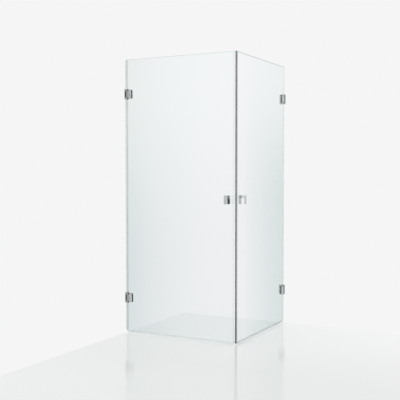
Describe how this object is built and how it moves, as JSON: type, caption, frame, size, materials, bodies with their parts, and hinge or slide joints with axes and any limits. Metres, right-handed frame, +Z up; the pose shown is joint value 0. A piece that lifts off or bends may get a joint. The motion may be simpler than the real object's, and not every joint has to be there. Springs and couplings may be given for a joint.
{
  "type": "corner shower enclosure",
  "caption": "Corner shower enclosure with frameless glass doors that meet at a magnetic corner seal and swing outwards on wall hinges.",
  "frame": {"origin": "on the floor, in the middle of the footprint box (walls to handle fronts)", "axes": "+Z up; the front door lies along X with its wall at -X and faces -Y; the side door lies along Y with its wall at +Y and faces +X"},
  "size_m": [0.939, 0.939, 2],
  "materials": {
    "clear_glass": "clear polished",
    "clear_seal": "clear soft plastic",
    "magnet_grey": "matt",
    "handle_chrome": "polished",
    "hinge_chrome": "polished",
    "clear_pad": "clear soft plastic",
    "screw_steel": "turned",
    "nylon_sleeve": "moulded",
    "nylon_bush": "moulded",
    "gasket_rubber": "matt"
  },
  "bodies": {
    "wall_brackets": {"front_lower_hinge_bracket": "hinge_chrome", "front_lower_hinge_pin": "screw_steel", "front_upper_hinge_bracket": "hinge_chrome", "front_upper_hinge_pin": "screw_steel", "side_lower_hinge_bracket": "hinge_chrome", "side_lower_hinge_pin": "screw_steel", "side_upper_hinge_bracket": "hinge_chrome", "side_upper_hinge_pin": "screw_steel"},
    "front_door": {"front_door_glass": "clear_glass", "front_corner_strip": "clear_seal", "front_corner_magnet": "magnet_grey", "front_wall_seal": "clear_seal", "front_bottom_sweep": "clear_seal", "front_handle": "handle_chrome", "front_handle_pad": "clear_pad", "front_handle_bolts": "screw_steel", "front_handle_sleeves": "nylon_sleeve", "front_handle_washers": "nylon_sleeve", "front_lower_hinge_bushes": "nylon_bush", "front_lower_outer_clamp": "hinge_chrome", "front_lower_inner_clamp": "hinge_chrome", "front_lower_clamp_gaskets": "gasket_rubber", "front_lower_clamp_screws": "screw_steel", "front_lower_clamp_sleeves": "nylon_sleeve", "front_upper_hinge_bushes": "nylon_bush", "front_upper_outer_clamp": "hinge_chrome", "front_upper_inner_clamp": "hinge_chrome", "front_upper_clamp_gaskets": "gasket_rubber", "front_upper_clamp_screws": "screw_steel", "front_upper_clamp_sleeves": "nylon_sleeve"},
    "side_door": {"side_door_glass": "clear_glass", "side_corner_strip": "clear_seal", "side_corner_magnet": "magnet_grey", "side_wall_seal": "clear_seal", "side_bottom_sweep": "clear_seal", "side_handle": "handle_chrome", "side_handle_pad": "clear_pad", "side_handle_bolts": "screw_steel", "side_handle_sleeves": "nylon_sleeve", "side_handle_washers": "nylon_sleeve", "side_lower_hinge_bushes": "nylon_bush", "side_lower_outer_clamp": "hinge_chrome", "side_lower_inner_clamp": "hinge_chrome", "side_lower_clamp_gaskets": "gasket_rubber", "side_lower_clamp_screws": "screw_steel", "side_lower_clamp_sleeves": "nylon_sleeve", "side_upper_hinge_bushes": "nylon_bush", "side_upper_outer_clamp": "hinge_chrome", "side_upper_inner_clamp": "hinge_chrome", "side_upper_clamp_gaskets": "gasket_rubber", "side_upper_clamp_screws": "screw_steel", "side_upper_clamp_sleeves": "nylon_sleeve"}
  },
  "joints": [
    {"name": "front_door_swing", "type": "hinge", "parent": "wall_brackets", "child": "front_door", "pos_m": [-0.4525, -0.4225, 1.005], "axis": [0, 0, -1], "range_deg": [0, 87]},
    {"name": "side_door_swing", "type": "hinge", "parent": "wall_brackets", "child": "side_door", "pos_m": [0.4225, 0.4525, 1.005], "axis": [0, 0, 1], "range_deg": [0, 87]}
  ]
}
